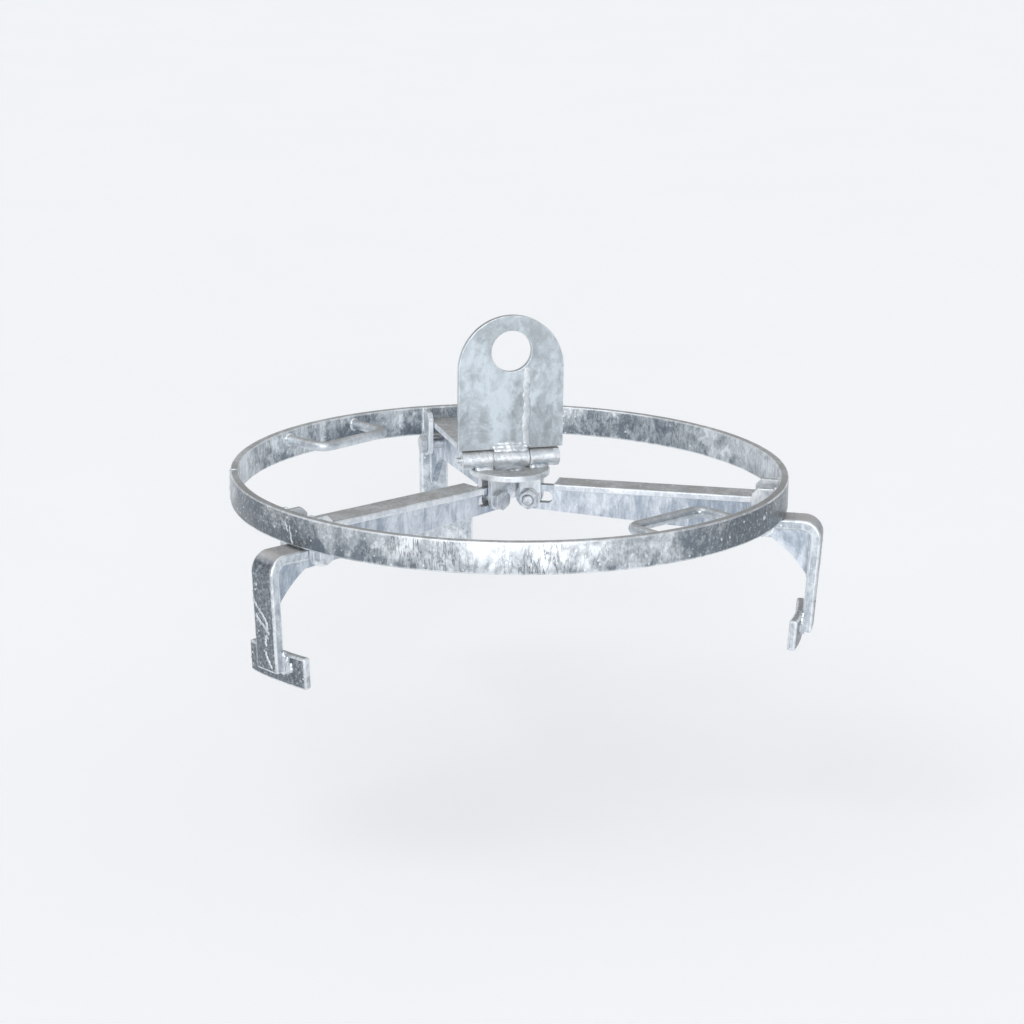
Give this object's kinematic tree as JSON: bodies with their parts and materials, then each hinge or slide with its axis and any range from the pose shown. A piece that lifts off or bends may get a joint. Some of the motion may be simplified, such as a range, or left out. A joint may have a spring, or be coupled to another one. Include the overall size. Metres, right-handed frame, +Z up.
{
  "type": "drum lifter",
  "caption": "Galvanised drum lifter: a flat-bar ring carries slotted lever arms whose claws close under a drum's rim when the hinged lifting plate is pulled up.",
  "frame": {"origin": "centre of the lifting eye, in the middle of the plate's thickness", "axes": "+Z up, X along the hinge pin, +Y across the lifting plate towards the rear arm"},
  "size_m": [0.5572, 0.575, 0.3044],
  "materials": {
    "galvanised_steel": "hot-dip galvanised, frosty light and blue-grey patches",
    "galvanised_dull": "hot-dip galvanised, weathered to a brownish grey",
    "galvanised_bright": "hot-dip galvanised, bright and streaked",
    "zinc_fastener": "zinc-plated"
  },
  "bodies": {
    "plate": {"lifting_plate": "galvanised_steel", "hinge_tube_middle": "galvanised_steel"},
    "hub": {"hub_disc": "galvanised_steel", "ear_1_left": "galvanised_steel", "ear_1_right": "galvanised_steel", "ear_2_left": "galvanised_steel", "ear_2_right": "galvanised_steel", "ear_3_left": "galvanised_steel", "ear_3_right": "galvanised_steel", "hub_bolts": "zinc_fastener", "hub_washers": "zinc_fastener", "hub_nuts": "zinc_fastener", "hinge_tube_left": "galvanised_steel", "hinge_tube_right": "galvanised_steel", "hinge_pin": "zinc_fastener"},
    "ring": {"ring_band": "galvanised_steel", "lug_1_left": "galvanised_steel", "lug_1_right": "galvanised_steel", "lug_2_left": "galvanised_steel", "lug_2_right": "galvanised_steel", "lug_3_left": "galvanised_steel", "lug_3_right": "galvanised_steel", "pivot_bolts": "zinc_fastener", "pivot_washers": "zinc_fastener", "pivot_nuts": "zinc_fastener", "handle_front": "galvanised_steel", "handle_rear": "galvanised_steel"},
    "arm_1": {"arm_web_1": "galvanised_steel", "arm_flange_1": "galvanised_dull", "claw_bar_1": "galvanised_steel", "claw_shoe_1": "galvanised_bright"},
    "arm_2": {"arm_web_2": "galvanised_steel", "arm_flange_2": "galvanised_dull", "claw_bar_2": "galvanised_steel", "claw_shoe_2": "galvanised_bright"},
    "arm_3": {"arm_web_3": "galvanised_steel", "arm_flange_3": "galvanised_dull", "claw_bar_3": "galvanised_steel", "claw_shoe_3": "galvanised_bright"}
  },
  "joints": [
    {"name": "plate_fold", "type": "hinge", "parent": "plate", "child": "hub", "pos_m": [0, 0, -0.106], "axis": [1, 0, 0], "range_deg": [-90, 90]},
    {"name": "ring_slide", "type": "slide", "parent": "hub", "child": "ring", "axis": [0, 0, 1], "range_m": [0, 0.024]},
    {"name": "arm_1_swing", "type": "hinge", "parent": "ring", "child": "arm_1", "pos_m": [0.22275, -0.1135, -0.151], "axis": [-0.454, -0.891, 0], "range_deg": [0, 6.2]},
    {"name": "arm_2_swing", "type": "hinge", "parent": "ring", "child": "arm_2", "pos_m": [0, 0.25, -0.151], "axis": [1, 0, 0], "range_deg": [0, 6.2]},
    {"name": "arm_3_swing", "type": "hinge", "parent": "ring", "child": "arm_3", "pos_m": [-0.22275, -0.1135, -0.151], "axis": [-0.454, 0.891, 0], "range_deg": [0, 6.2]}
  ],
  "couplings": [
    {"joint": "arm_1_swing", "follows": "ring_slide", "rad_per_m": 4.386},
    {"joint": "arm_2_swing", "follows": "ring_slide", "rad_per_m": 4.386},
    {"joint": "arm_3_swing", "follows": "ring_slide", "rad_per_m": 4.386}
  ]
}
